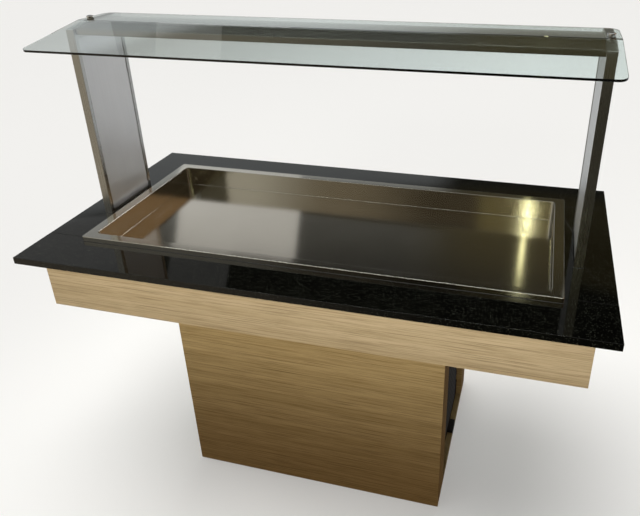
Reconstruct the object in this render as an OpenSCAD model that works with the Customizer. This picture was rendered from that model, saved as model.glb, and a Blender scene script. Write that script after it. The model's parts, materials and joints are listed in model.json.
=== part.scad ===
// Refrigerated buffet island with a fixed glass sneeze guard.
// X runs along the counter, -Y is the customers' front, +Z is up. The origin is on the floor at the centre.

/* [Counter] */
// Length of the stone top
top_l = 1630; // [1610:10:1700]
// Depth of the stone top
top_d = 870; // [850:10:920]
// Thickness of the stone top
top_t = 20; // [20:1:30]
// Height of the stone top's upper face
counter_h = 800; // [790:10:860]

/* [Well] */
// Inside length of the pan, for four gastronorm 1/1 containers side by side
pan_l = 1310; // [1300:5:1310]
// Inside depth of the pan from front to back
pan_d = 540; // [530:5:540]
// Height of the pan's rim above its floor
pan_deep = 65; // [60:5:70]
// Width of the pan's flat rim
rim_w = 30; // [25:1:32]
// Height of the rim above the stone
rim_h = 15; // [12:1:18]

/* [Apron] */
// Length of the apron box
apron_l = 1530; // [1520:5:1560]
// Depth of the apron box
apron_d = 756; // [750:2:780]
// Height of the apron boards
apron_h = 164; // [150:2:170]

/* [Pedestal] */
// Length of the pedestal
ped_l = 810; // [800:5:830]
// Depth of the pedestal
ped_d = 610; // [600:5:630]
// Thickness of the pedestal's boards
ped_t = 19; // [18:1:19]
// Gap between the pedestal's boards and the floor
floor_gap = 3; // [2:1:6]

/* [Sneeze guard] */
// Distance over the outer faces of the uprights
guard_l = 1470; // [1470:1:1480]
// Width of an upright, seen from the front
post_w = 25; // [25:1:28]
// Depth of an upright, seen from the side
post_d = 228; // [220:2:236]
// Height of the uprights above the stone
post_h = 578; // [540:2:620]
// Length of the glass canopy
glass_l = 1494; // [1480:2:1510]
// Thickness of the glass
glass_t = 6; // [6:1:8]
// Depth of the flat part of the glass behind the bend
glass_flat = 137; // [130:1:150]
// Horizontal reach of the sloped part in front of the bend
glass_reach = 253; // [230:1:280]
// Downward slope of the front part in degrees
slope = 8.2; // [6:0.2:12]

/* [Hidden] */
$fn = 48;

// Stone cut-out and the levels under the top
cut_l = pan_l + 10;
cut_d = pan_d + 12;
under_top = counter_h - top_t;
apron_z = under_top - apron_h;
apron_t = 18;
apron_in_l = apron_l - 2 * apron_t;
apron_in_d = apron_d - 2 * apron_t;

// Square steel tube of the support frame
tube = 30;
tube_wall = 2;
low_z = under_top - 104;
high_z = under_top - tube;
rail_y = apron_in_d / 2 - tube / 2;
post_x = guard_l / 2 - post_w / 2;
inner_cross_x = [390, 130];

// Pedestal
frame_t = 18;
frame_in = ped_l / 2 - frame_t;
door_t = 16;
door_out = frame_in - 2;
door_in = door_out - door_t;
side_in = door_in - 2;
board_in_y = ped_d / 2 - ped_t;
bay_y = 210;
sill_z = 20;
head_z = apron_z - 2;
base_z = 40;
base_top = base_z + 18;
batten = 30;
door_z0 = sill_z + 2;
door_z1 = head_z - 2;
door_y = bay_y - 3;
pivot_x = (door_in + door_out) / 2;
pivot_y = door_y - door_t / 2;
pivot_r = 4;
pivot_l = 16;
louvre_pitch = 40;
inlet_y = [0, 60];
run_gap = 0.05;
foot_x = side_in - 60;
foot_y = board_in_y - 60;
foot_pad_r = 25;
foot_h = 20;
foot_stud_r = 5;
pull_inset = 30;
slot_inset = 60;
slot_h = 14;
inlet_h = 25;
inlet_half = 29;

// Well
sheet = 1.5;
pan_floor = counter_h + rim_h - pan_deep;
coil_r = 4;
coil_z = pan_floor - sheet - coil_r - 0.3;
coil_runs = 10;
coil_pitch = 45;
coil_x = 600;
coil_y0 = (coil_runs - 1) * coil_pitch / 2;
elbow_r = 14;
coil_in_x = 230;
coil_out_x = 180;
pocket_z = coil_z - coil_r - 2;
foam_t = 39;
foam_z = low_z + tube + 1.2;
casing_t = 1.2;
drain_x = 230;
drain_y = 38 - pan_d / 2;
drain_tail_r = 15;
flange_r = 22;
flange_t = 2;
dish_r = flange_r + 0.5;
drain_bore_r = 11;
spigot_r = 13;
spigot_l = 20;
valve_z = low_z - 30;
ball_r = 22;
collar_h = 8;
collar_z = low_z + tube - collar_h;
stem_r = 5;
boss_r = 9;
lever_x = 29;
lever_l = 78;
lever_t = 4;

// Cooling unit on the base board
tray_x = [-300, 220];
tray_y = 200;
tray_h = 20;
unit_z = base_top + sheet;
fan_z = base_top + 142;
fan_shaft_r = 3;
ring_x = [-245, -205];
ring_r = 110;
ring_wall = 8;
motor_r = 32;
motor_x = [-215, -160];
hub_x = [-238, -220];
hub_r = 22;
blade_x = (hub_x[0] + hub_x[1]) / 2;
blade_mid = 60;
blade_size = [2, 44, 84];
blade_pitch = 28;
comp_x = 90;
comp_y = -30;
comp_r = 74;
comp_foot = [75, 60];
comp_plate_z = 15;
comp_dome_z = 130;
cond_x = -270;
cond_y = 150;
cond_half = 20;
cond_h = 263;
cond_end = 3;
fins = 12;
fin_pitch = 20;
fin_t = 6;
discharge_y = 130;
line_z = base_top + 120;
liquid_z = base_top + 40;
drier_r = 13;

// Controls on the back apron
ctrl_x = 200;
ctrl_z = (low_z + tube + high_z) / 2;
ctrl_y = apron_d / 2;
plate_half = [90, 26];
plate_margin = [18, 8];
dial_x = ctrl_x - 45;
dial_r = 17;
grip_r = 13;
switch_x = ctrl_x + 5;
switch_pitch = 40;
shaft_r = 3;
rock = 8;
rocker_half = 8.5;
rocker_r = 10.5;

// Guard
post_top = counter_h + post_h;
gasket_t = 2;
bend_y = -37;
beam_y0 = -post_d / 2 + 8;
beam_y1 = 60;
beam_h = 26;
beam_l = guard_l - 2 * post_w;
knob_y = -15;
bend_r = 60;
bend_steps = 4;
front_corner = 22;
back_corner = 30;
glass_z = post_top + gasket_t;
knob_stud_r = 3.95;
knob_hole_r = 7;
nut_z = post_top - 13;
stud_y = 80;
bolt_y = [-70, 30];
bolt_z = post_top - 15;
bolt_hole_r = 3.2;
beam_floor = post_top - beam_h;
lip = 12;
lamp_y = -20;
lamp_half = 560;
lamp_r = 8;
lamp_z = beam_floor + 13;

oak = [0.72, 0.60, 0.42];
dark_oak = [0.30, 0.22, 0.13];
stone = [0.06, 0.07, 0.07];
steel = [0.66, 0.65, 0.62];
galv = [0.60, 0.63, 0.65];
black = [0.07, 0.07, 0.08];
copper = [0.72, 0.42, 0.26];

// ---- helpers ----

// Block from one corner to the opposite corner
module span(a, b) translate(a) cube(b - a);

// Copies at both ends of an axis
module both_x(x) for (s = [-1, 1]) translate([s * x, 0, 0]) children();
module both_y(y) for (s = [-1, 1]) translate([0, s * y, 0]) children();

// Plate with rounded corners, centred, standing on z
module rounded(l, w, r, z0, z1) {
    translate([0, 0, z0]) linear_extrude(z1 - z0) {
        square([l - 2 * r, w], center = true);
        square([l, w - 2 * r], center = true);
        for (sx = [-1, 1], sy = [-1, 1]) translate([sx * (l / 2 - r), sy * (w / 2 - r)]) circle(r);
    }
}

// Round bar along an axis, from a to b
module bar_z(r, z0, z1) translate([0, 0, z0]) cylinder(r = r, h = z1 - z0);
module bar_x(r, x0, x1) translate([x0, 0, 0]) rotate([0, 90, 0]) cylinder(r = r, h = x1 - x0);
module bar_y(r, y0, y1) translate([0, y1, 0]) rotate([90, 0, 0]) cylinder(r = r, h = y1 - y0);

// Profile in Y and Z, extruded along X
module along_x(x0, x1) translate([x0, 0, 0]) rotate([90, 0, 90]) linear_extrude(x1 - x0) children();

// Square tubes with open ends, centred on their axis
module tube_section() {
    difference() {
        square(tube, center = true);
        square(tube - 2 * tube_wall, center = true);
    }
}
module tube_x(l) rotate([90, 0, 90]) translate([0, 0, -l / 2]) linear_extrude(l) tube_section();
module tube_y(l) rotate([90, 0, 0]) translate([0, 0, -l / 2]) linear_extrude(l) tube_section();
module tube_z(z0, z1) translate([0, 0, z0]) linear_extrude(z1 - z0) tube_section();

// Height of the glass's and the housings' slope below the flat part, at y
function drop(y) = y < bend_y ? (bend_y - y) * tan(slope) : 0;

// Side outline of an upright or the beam, shrunk by a wall on every side
module capped_outline(y0, y1, z0, wall) {
    polygon([
        [y0 + wall, z0 + wall],
        [y1 - wall, z0 + wall],
        [y1 - wall, post_top - wall],
        [bend_y, post_top - wall],
        [y0 + wall, post_top - drop(y0 + wall) - wall]
    ]);
}

// ---- pedestal ----

module pedestal_front() color(oak)
    span([-ped_l / 2, -ped_d / 2, floor_gap], [ped_l / 2, -board_in_y, low_z]);

module pedestal_back() color(oak)
    span([-ped_l / 2, board_in_y, floor_gap], [ped_l / 2, ped_d / 2, low_z]);

// Frame boards around the bays in both ends; the right one leaves a gap for the power inlet
module side_frames() color(oak) for (m = [0, 1]) mirror([m, 0, 0]) difference() {
    span([frame_in, -board_in_y, floor_gap], [ped_l / 2, board_in_y, low_z]);
    span([frame_in - 1, -bay_y, sill_z], [ped_l / 2 + 1, bay_y, head_z]);
    if (m == 0)
        span([frame_in - 1, inlet_y[0], floor_gap - 1], [ped_l / 2 + 1, inlet_y[1], sill_z + 1]);
}

// Slots of a louvred leaf, drawn at the right end
module louvre_slots() {
    for (z = [door_z0 + slot_inset:louvre_pitch:door_z1 - slot_inset])
        span([door_in - 1, slot_inset - door_y, z], [door_out + 1, door_y - slot_inset, z + slot_h]);
}

module vent_panel() color(black) mirror([1, 0, 0]) difference() {
    span([door_in, -door_y, door_z0 - 2], [door_out, door_y, door_z1 + 2]);
    louvre_slots();
}

// Louvred door with a half-round hinge edge, turning on two pins
module service_door() color(black) difference() {
    union() {
        span([door_in, -door_y, door_z0], [door_out, pivot_y, door_z1]);
        translate([pivot_x, pivot_y, 0]) bar_z(door_t / 2, door_z0, door_z1);
    }
    louvre_slots();
    translate([pivot_x, pivot_y, 0]) {
        bar_z(pivot_r + run_gap, door_z0 - 1, door_z0 + pivot_l + 2);
        bar_z(pivot_r + run_gap, door_z1 - pivot_l - 2, door_z1 + 1);
    }
}

module door_pull() color(steel) translate([door_out, pull_inset - door_y, (door_z0 + door_z1) / 2])
    rotate([0, 90, 0]) rotate_extrude() polygon([[0, 0], [6, 0], [5, 6], [10, 11], [10, 15], [0, 16]]);

module door_pivots() color(steel) translate([pivot_x, pivot_y, 0]) {
    bar_z(pivot_r, floor_gap + 2, door_z0 + pivot_l);
    bar_z(pivot_r, door_z1 - pivot_l, head_z + pivot_l);
}

module base_board() color(dark_oak) {
    difference() {
        span([-side_in, -board_in_y, base_z], [side_in, board_in_y, base_top]);
        for (sx = [-1, 1], sy = [-1, 1]) translate([sx * foot_x, sy * foot_y, 0])
            bar_z(foot_stud_r + run_gap, base_z - 1, base_top + 1);
        translate([drain_x, drain_y, 0]) bar_z(drain_tail_r + 1, base_z - 1, base_top + 1);
    }
}

// Corner posts, and the sills and heads behind the side frames
module carcass_battens() color(dark_oak) {
    for (sx = [-1, 1], sy = [-1, 1])
        translate([sx * (side_in - batten / 2), sy * (board_in_y - batten / 2), (base_top + low_z) / 2])
            cube([batten, batten, low_z - base_top], center = true);
    for (m = [0, 1]) mirror([m, 0, 0]) difference() {
        union() {
            span([side_in, -board_in_y, floor_gap], [frame_in, board_in_y, sill_z]);
            span([side_in, -board_in_y, head_z], [frame_in, board_in_y, low_z]);
        }
        translate([pivot_x, pivot_y, 0]) {
            bar_z(pivot_r, floor_gap + 2, sill_z + 1);
            bar_z(pivot_r, head_z - 1, head_z + pivot_l);
        }
    }
}

// Levelling foot: moulded pad and threaded stud
module foot(sx, sy) color(black) translate([sx * foot_x, sy * foot_y, 0]) {
    rotate_extrude() polygon([
        [0, 0], [foot_pad_r, 0], [foot_pad_r, 4], [20, 10], [9, 14], [9, foot_h], [0, foot_h]
    ]);
    bar_z(foot_stud_r, foot_h - 2, base_top + 14);
}
module foot_front_left() foot(-1, -1);
module foot_front_right() foot(1, -1);
module foot_back_left() foot(-1, 1);
module foot_back_right() foot(1, 1);

// ---- support frame ----

// Welded ladder under the front or back edge of the top
module ladder(side) color(galv) translate([0, side * rail_y, 0]) {
    translate([0, 0, low_z + tube / 2]) tube_x(apron_in_l);
    translate([0, 0, high_z + tube / 2]) tube_x(apron_in_l);
    for (x = [-post_x, -inner_cross_x[0], 0, inner_cross_x[0], post_x]) translate([x, 0, 0])
        tube_z(low_z + tube, high_z);
}
module frame_front() ladder(-1);
module frame_back() ladder(1);

// Cross tubes; the upper pair is drilled for the guard's studs
module frame_cross() color(galv) {
    for (s = [-1, 1], x = [post_x, inner_cross_x[0], inner_cross_x[1]])
        translate([s * x, 0, low_z + tube / 2]) tube_y(2 * rail_y - tube);
    both_x(post_x) difference() {
        translate([0, 0, high_z + tube / 2]) tube_y(2 * rail_y - tube);
        both_y(stud_y) bar_z(5.5, high_z - 1, under_top + 1);
    }
}

// ---- apron ----

module apron_front() color(oak)
    span([-apron_l / 2, -apron_d / 2, apron_z], [apron_l / 2, -apron_in_d / 2, under_top]);

module apron_back() color(oak) difference() {
    span([-apron_l / 2, apron_in_d / 2, apron_z], [apron_l / 2, apron_d / 2, under_top]);
    opening = plate_half - plate_margin;
    span([ctrl_x - opening[0], apron_in_d / 2 - 1, ctrl_z - opening[1]],
        [ctrl_x + opening[0], apron_d / 2 + 1, ctrl_z + opening[1]]);
}

module apron_end(side) color(oak) translate([side * (apron_l - apron_t) / 2, 0, (apron_z + under_top) / 2])
    cube([apron_t, apron_in_d, apron_h], center = true);
module apron_left() apron_end(-1);
module apron_right() apron_end(1);

// ---- stone top ----

module stone_long(side) color(stone)
    translate([0, side * (top_d + cut_d) / 4, under_top + top_t / 2])
    cube([top_l, (top_d - cut_d) / 2, top_t], center = true);
module stone_front() stone_long(-1);
module stone_back() stone_long(1);

// End strips, drilled for the guard's studs
module stone_end(side) color(stone) difference() {
    translate([side * (top_l + cut_l) / 4, 0, under_top + top_t / 2])
        cube([(top_l - cut_l) / 2, cut_d, top_t], center = true);
    both_y(stud_y) translate([side * post_x, 0, 0]) bar_z(6, under_top - 1, counter_h + 1);
}
module stone_left() stone_end(-1);
module stone_right() stone_end(1);

// ---- well ----

// Pan with a flat rim whose edge is turned down onto the stone, and a dish for the strainer's flange
module well_pan() color(steel) difference() {
    union() {
        rounded(pan_l + 2 * rim_w, pan_d + 2 * rim_w, 6, counter_h, counter_h + rim_h);
        rounded(pan_l + 2 * sheet, pan_d + 2 * sheet, 12, pan_floor - sheet, counter_h + 1);
        translate([drain_x, drain_y, 0]) bar_z(dish_r + sheet, pan_floor - flange_t - sheet, pan_floor);
    }
    rounded(pan_l, pan_d, 12 - sheet, pan_floor, counter_h + rim_h + 1);
    difference() {
        rounded(pan_l + 2 * rim_w - 2 * sheet, pan_d + 2 * rim_w - 2 * sheet, 6 - sheet,
            counter_h - 1, counter_h + rim_h - sheet);
        rounded(pan_l + 2 * sheet, pan_d + 2 * sheet, 12, counter_h - 2, counter_h + rim_h);
    }
    translate([drain_x, drain_y, 0]) {
        bar_z(dish_r, pan_floor - flange_t, pan_floor + 1);
        bar_z(drain_tail_r + 1, pan_floor - 5, pan_floor);
    }
}

// Foam box around the pan, with a pocket for the coil
module well_insulation() color([0.90, 0.84, 0.62]) difference() {
    rounded(pan_l + 2 * foam_t + 4, pan_d + 2 * foam_t + 4, 4, foam_z, under_top - 1);
    rounded(pan_l + 4, pan_d + 4, 12, pocket_z, under_top);
    translate([drain_x, drain_y, 0]) bar_z(drain_tail_r + 2, foam_z - 1, pocket_z + 1);
    translate([coil_out_x, -coil_y0, 0]) bar_z(coil_r + 5, foam_z - 1, pocket_z + 1);
    translate([coil_in_x, coil_y0, 0]) bar_z(coil_r + 5, foam_z - 1, pocket_z + 1);
}

module well_casing() color(galv) difference() {
    rounded(pan_l + 2 * foam_t + 4 + 2 * casing_t, pan_d + 2 * foam_t + 4 + 2 * casing_t, 5,
        foam_z - casing_t, under_top - 1);
    rounded(pan_l + 2 * foam_t + 4, pan_d + 2 * foam_t + 4, 4, foam_z, under_top);
    translate([drain_x, drain_y, 0]) bar_z(drain_tail_r + 1, foam_z - 5, foam_z + 1);
    translate([coil_out_x, -coil_y0, 0]) bar_z(coil_r + 1.5, foam_z - 5, foam_z + 1);
    translate([coil_in_x, coil_y0, 0]) bar_z(coil_r + 1.5, foam_z - 5, foam_z + 1);
}

// Copper serpentine under the pan, with a tail down at each end
module u_bend(side) rotate([0, 0, side > 0 ? -90 : 90])
    rotate_extrude(angle = 180) translate([coil_pitch / 2, 0]) circle(coil_r);

// Quarter bend from a run along X down into a vertical tail
module tail() {
    translate([0, 0, -elbow_r]) rotate([90, 0, 0])
        rotate_extrude(angle = 90) translate([elbow_r, 0]) circle(coil_r);
    translate([elbow_r, 0, 0]) bar_z(coil_r, low_z - 20 - coil_z, -elbow_r);
}
module evaporator_coil() color(copper) translate([0, 0, coil_z]) {
    for (i = [0:coil_runs - 1]) {
        y = coil_y0 - i * coil_pitch;
        x0 = i == 0 ? coil_in_x + elbow_r : i == coil_runs - 1 ? coil_out_x + elbow_r : -coil_x;
        translate([0, y, 0]) bar_x(coil_r, x0, coil_x);
        if (i < coil_runs - 1) {
            side = i % 2 == 0 ? 1 : -1;
            translate([side * coil_x, y - coil_pitch / 2, 0]) u_bend(side);
        }
    }
    translate([coil_in_x + elbow_r, coil_y0, 0]) mirror([1, 0, 0]) tail();
    translate([coil_out_x + elbow_r, -coil_y0, 0]) mirror([1, 0, 0]) tail();
}

module drain_strainer() color(steel) translate([drain_x, drain_y, 0]) difference() {
    union() {
        bar_z(flange_r, pan_floor - flange_t, pan_floor);
        bar_z(drain_tail_r, valve_z + ball_r, pan_floor - 1);
    }
    bar_z(drain_bore_r, valve_z + ball_r - 2, pan_floor + 1);
}

module drain_plug() color(black) translate([drain_x, drain_y, 0]) {
    bar_z(drain_bore_r - 0.5, pan_floor - 12, pan_floor + 1);
    bar_z(18, pan_floor + 0.2, pan_floor + 3);
    bar_z(4, pan_floor + 2, pan_floor + 14);
    bar_z(8, pan_floor + 12, pan_floor + 16);
}

// Ball valve whose hexagon collar clamps the strainer's tail
module drain_valve() color([0.75, 0.62, 0.30]) translate([drain_x, drain_y, 0]) difference() {
    union() {
        bar_z(18, valve_z - ball_r - 2, collar_z);
        translate([0, 0, collar_z]) cylinder(r = 24, h = collar_h, $fn = 6);
        translate([0, 0, valve_z]) sphere(r = ball_r);
        translate([0, 0, valve_z]) bar_x(boss_r, 0, lever_x - 1);
        translate([0, 0, valve_z]) bar_x(stem_r, lever_x - 2, lever_x + 11);
    }
    bar_z(drain_tail_r, valve_z + ball_r, collar_z + collar_h + 1);
    bar_z(drain_bore_r, valve_z - 30, valve_z - 14);
    bar_z(drain_bore_r, valve_z + 14, valve_z + ball_r + 1);
}

// Lever that turns a quarter from closed, along Y, to open, straight down
module valve_lever() color([0.70, 0.12, 0.10]) translate([drain_x, drain_y, valve_z]) difference() {
    union() {
        bar_x(boss_r, lever_x, lever_x + lever_t + 1);
        span([lever_x, 0, -7], [lever_x + lever_t, lever_l, 7]);
        translate([0, lever_l, 0]) bar_x(7, lever_x, lever_x + lever_t);
    }
    bar_x(stem_r + run_gap, lever_x - 1, lever_x + lever_t + 2);
}

// Waste pipe that ends in a spigot for a hose, under the base board
module drain_pipe() color([0.80, 0.80, 0.80]) translate([drain_x, drain_y, 0]) difference() {
    union() {
        bar_z(drain_tail_r, base_z - 2, valve_z - ball_r - 2);
        bar_z(spigot_r, base_z - 2 - spigot_l, base_z);
    }
    bar_z(drain_bore_r, base_z - 3 - spigot_l, valve_z - ball_r - 1);
}

// ---- cooling unit ----

module unit_tray() color(galv) difference() {
    span([tray_x[0], -tray_y, base_top], [tray_x[1], tray_y, base_top + tray_h]);
    span([tray_x[0] + sheet, sheet - tray_y, unit_z],
        [tray_x[1] - sheet, tray_y - sheet, base_top + tray_h + 1]);
}

// Welded shell on a foot plate with four grommets, and its terminal box
module compressor() color(black) translate([comp_x, comp_y, unit_z]) {
    for (sx = [-1, 1], sy = [-1, 1]) translate([sx * comp_foot[0], sy * comp_foot[1], 0])
        bar_z(10, 0, comp_plate_z + 1);
    span([-comp_foot[0] - 13, -comp_foot[1] - 13, comp_plate_z],
        [comp_foot[0] + 13, comp_foot[1] + 13, comp_plate_z + 3]);
    bar_z(comp_r, comp_plate_z + 2, comp_dome_z);
    translate([0, 0, comp_dome_z]) rotate_extrude()
        polygon([[0, -1], [comp_r, -1], [comp_r - 4, 20], [comp_r - 19, 35], [0, 44]]);
    translate([0, 4 - comp_r, 60]) cube([60, 40, 50], center = true);
}

// Frame and fin shelves
module condenser() color(galv) translate([cond_x, 0, unit_z]) {
    for (z = [0, cond_h - cond_end]) span([-cond_half, -cond_y, z], [cond_half, cond_y, z + cond_end]);
    both_y(cond_y - 1) span([-cond_half, -1, 0], [cond_half, 1, cond_h]);
    for (i = [0:fins - 1]) translate([0, 0, 14 + fin_pitch * i])
        span([2 - cond_half, 1 - cond_y, 0], [cond_half - 2, cond_y - 1, fin_t]);
}

// Ring, spider and motor that carry the fan
module fan_shroud() color(black) {
    translate([0, 0, fan_z]) {
        difference() {
            bar_x(ring_r + ring_wall, ring_x[0], ring_x[1]);
            bar_x(ring_r, ring_x[0] - 1, ring_x[1] + 1);
        }
        for (a = [0, 90, 180, 270]) rotate([a, 0, 0])
            span([motor_x[0], -4, motor_r - 4], [motor_x[0] + 6, 4, ring_r + 2]);
        bar_x(motor_r, motor_x[0], motor_x[1]);
        bar_x(fan_shaft_r, hub_x[0], motor_x[0] + 1);
    }
    both_y(ring_r - 10) span([ring_x[0], -12, unit_z], [ring_x[1], 12, fan_z - 70]);
}

module fan_blade() color([0.45, 0.47, 0.50]) translate([0, 0, fan_z]) difference() {
    union() {
        bar_x(hub_r, hub_x[0], hub_x[1]);
        for (a = [0:72:288]) rotate([a, 0, 0]) translate([blade_x, 0, blade_mid])
            rotate([0, 0, blade_pitch]) cube(blade_size, center = true);
    }
    bar_x(fan_shaft_r + run_gap, hub_x[0] - 1, hub_x[1] + 1);
}

// Pipe run from one point to the next along one axis, with a ball at its end as the elbow
module pipe_x(p, x) translate(p) {
    bar_x(coil_r, min(0, x), max(0, x));
    translate([x, 0, 0]) sphere(r = coil_r);
}
module pipe_y(p, y) translate(p) {
    bar_y(coil_r, min(0, y), max(0, y));
    translate([0, y, 0]) sphere(r = coil_r);
}

// Liquid line with its filter drier, suction line and discharge line
module refrigerant_lines() color(copper) {
    translate([coil_in_x, coil_y0, 0]) {
        bar_z(coil_r, liquid_z, low_z - 20);
        bar_z(drier_r, liquid_z + 50, liquid_z + 160);
    }
    pipe_x([coil_in_x, coil_y0, liquid_z], cond_x - coil_in_x);
    translate([cond_x, 0, liquid_z]) bar_y(coil_r, cond_y, coil_y0);
    translate([coil_out_x, -coil_y0, 0]) bar_z(coil_r, line_z, low_z - 20);
    pipe_x([coil_out_x, -coil_y0, line_z], comp_x - coil_out_x);
    translate([comp_x, 0, line_z]) bar_y(coil_r, -coil_y0, comp_y - comp_r);
    pipe_y([comp_x, comp_y + comp_r, line_z], discharge_y - comp_y - comp_r);
    translate([0, discharge_y, line_z]) bar_x(coil_r, cond_x + 18, comp_x);
}

// ---- controls ----

module control_plate() color(steel) difference() {
    span([ctrl_x - plate_half[0], ctrl_y, ctrl_z - plate_half[1]],
        [ctrl_x + plate_half[0], ctrl_y + sheet, ctrl_z + plate_half[1]]);
    for (i = [0, 1]) translate([switch_x + switch_pitch * i, ctrl_y, ctrl_z])
        cube([22, 8, 28], center = true);
    translate([dial_x, 0, ctrl_z]) bar_y(5, ctrl_y - 1, ctrl_y + 3);
}

// Thermostat body with its shaft, and two switch frames
module control_housings() color(black) {
    span([dial_x - 19, ctrl_y - 30, ctrl_z - 16], [dial_x + 19, ctrl_y, ctrl_z + 16]);
    translate([dial_x, 0, ctrl_z]) {
        bar_y(4.8, ctrl_y - 1, ctrl_y + 3);
        bar_y(shaft_r, ctrl_y + 2, ctrl_y + 14);
    }
    for (i = [0, 1]) translate([switch_x + switch_pitch * i, 0, ctrl_z]) difference() {
        union() {
            span([-11, ctrl_y - 26, -14], [11, ctrl_y + sheet, 14]);
            span([-13, ctrl_y + sheet, -16], [13, ctrl_y + 4, 16]);
        }
        span([-9, ctrl_y - 12, -12], [9, ctrl_y + 5, 12]);
    }
}

// Skirted knob with a pointer rib
module thermostat_knob() color(black) translate([dial_x, 0, ctrl_z]) difference() {
    union() {
        bar_y(dial_r, ctrl_y + 3.5, ctrl_y + 8);
        bar_y(grip_r, ctrl_y + 7, ctrl_y + 20);
        span([-2, ctrl_y + 8, 0], [2, ctrl_y + 21, grip_r]);
    }
    bar_y(shaft_r + run_gap, ctrl_y + 3, ctrl_y + 16);
}

// Rocker: a wedge over a round back, tilted by half its travel
module rocker(i) translate([switch_x + switch_pitch * i, ctrl_y + 1, ctrl_z]) rotate([-rock, 0, 0]) {
    tip = rocker_r - 0.3;
    difference() {
        bar_x(rocker_r, -rocker_half, rocker_half);
        span([-rocker_half - 1, 0, -rocker_r - 1], [rocker_half + 1, rocker_r + 1, rocker_r + 1]);
    }
    along_x(-rocker_half, rocker_half) polygon([[-1, -tip], [4.6, -tip], [2.6, 0], [4.6, tip], [-1, tip]]);
}
module cooling_switch() color([0.10, 0.45, 0.20]) rocker(0);
module light_switch() color([0.75, 0.12, 0.10]) rocker(1);

// Black inlet block in the right frame's gap, with a socket for a mains lead
module power_inlet() color(black) translate([0, (inlet_y[0] + inlet_y[1]) / 2, 0]) {
    difference() {
        span([frame_in, -inlet_half, floor_gap], [ped_l / 2, inlet_half, floor_gap + inlet_h]);
        span([frame_in + 4, -12, floor_gap + 4], [ped_l / 2 + 1, 12, floor_gap + inlet_h - 4]);
    }
    for (y = [-7, 0, 7]) translate([0, y, floor_gap + inlet_h / 2]) bar_x(1.6, frame_in + 3, ped_l / 2 - 4);
}

// ---- guard ----

// Folded upright, open on its inner side behind the inset cover, with a hole for a cap knob.
// Drawn at the right end; the left one is its mirror image.
module upright() difference() {
    along_x(post_x - post_w / 2, post_x + post_w / 2) capped_outline(-post_d / 2, post_d / 2, counter_h, 0);
    along_x(post_x - post_w / 2 + sheet, post_x + post_w / 2 - sheet) union() {
        capped_outline(-post_d / 2, post_d / 2, counter_h, sheet);
        translate([-post_d / 2 + sheet, counter_h - 1]) square([post_d - 2 * sheet, 4]);
    }
    span([post_x - post_w / 2 - 1, -post_d / 2 + 14, counter_h - 1],
        [post_x - post_w / 2 + sheet + 1, post_d / 2 - 14, beam_floor - lip]);
    translate([post_x, knob_y, 0]) bar_z(5, post_top - 10, post_top + 1);
    for (y = bolt_y) translate([0, y, bolt_z])
        bar_x(bolt_hole_r, post_x - post_w / 2 - 1, post_x - post_w / 2 + 3);
}
module upright_right() color(steel) upright();
module upright_left() color(steel) mirror([1, 0, 0]) upright();

// Inset plates that close the uprights' inner sides
module upright_covers() color([0.56, 0.58, 0.60]) for (m = [0, 1]) mirror([m, 0, 0])
    span([post_x - post_w / 2 + sheet, -post_d / 2 + sheet, counter_h + 8],
        [post_x - post_w / 2 + 2 * sheet, post_d / 2 - sheet, beam_floor - 4]);

// Flange inside each upright, with two studs through the stone
module base_flanges() color(galv) both_x(post_x) {
    span([-7, -100, counter_h], [9, 100, counter_h + 6]);
    both_y(stud_y) bar_z(5, high_z - 14, counter_h + 6);
}

module stud_hardware() color(galv) both_x(post_x) both_y(stud_y) difference() {
    union() {
        bar_z(12, high_z - 2, high_z);
        translate([0, 0, high_z - 10]) cylinder(r = 9.8, h = 8, $fn = 6);
    }
    bar_z(5 + run_gap, high_z - 11, high_z + 1);
}

// Housing of the lamp: sheet with end walls, open below between two lips
module light_beam() color(steel) difference() {
    along_x(-beam_l / 2, beam_l / 2) capped_outline(beam_y0, beam_y1, beam_floor, 0);
    along_x(-beam_l / 2 + sheet, beam_l / 2 - sheet) capped_outline(beam_y0, beam_y1, beam_floor, sheet);
    span([lip - beam_l / 2, beam_y0 + lip, beam_floor - 1],
        [beam_l / 2 - lip, beam_y1 - lip, beam_floor + 3]);
    both_x(beam_l / 2) for (y = bolt_y) translate([0, y, bolt_z]) bar_x(bolt_hole_r, -3, 3);
}

// Bolts from the beam's ends into the uprights, with their nuts
module beam_bolt() {
    bar_x(3, -sheet - 1, 12);
    bar_x(5.5, -sheet - 5, -sheet);
    translate([sheet, 0, 0]) rotate([0, 90, 0]) cylinder(r = 5.7, h = 5, $fn = 6);
}
module beam_bolts() color(galv) for (m = [0, 1], y = bolt_y)
    mirror([m, 0, 0]) translate([beam_l / 2, y, bolt_z]) beam_bolt();

module lamp_tube() color([0.95, 0.95, 0.90]) translate([0, lamp_y, lamp_z]) {
    bar_x(lamp_r, -lamp_half, lamp_half);
    both_x(lamp_half) bar_x(lamp_r + 0.2, -10, 10);
}

module lamp_holders() color([0.92, 0.92, 0.90]) both_x(lamp_half + 16)
    span([-5.5, lamp_y - 12, beam_floor + 4], [5.5, lamp_y + 12, post_top - 2.2]);

module diffuser() color([0.90, 0.92, 0.92, 0.6])
    span([-beam_l / 2 + 3, beam_y0 + 3, beam_floor + sheet],
        [beam_l / 2 - 3, beam_y1 - 3, beam_floor + sheet + 2]);

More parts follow.
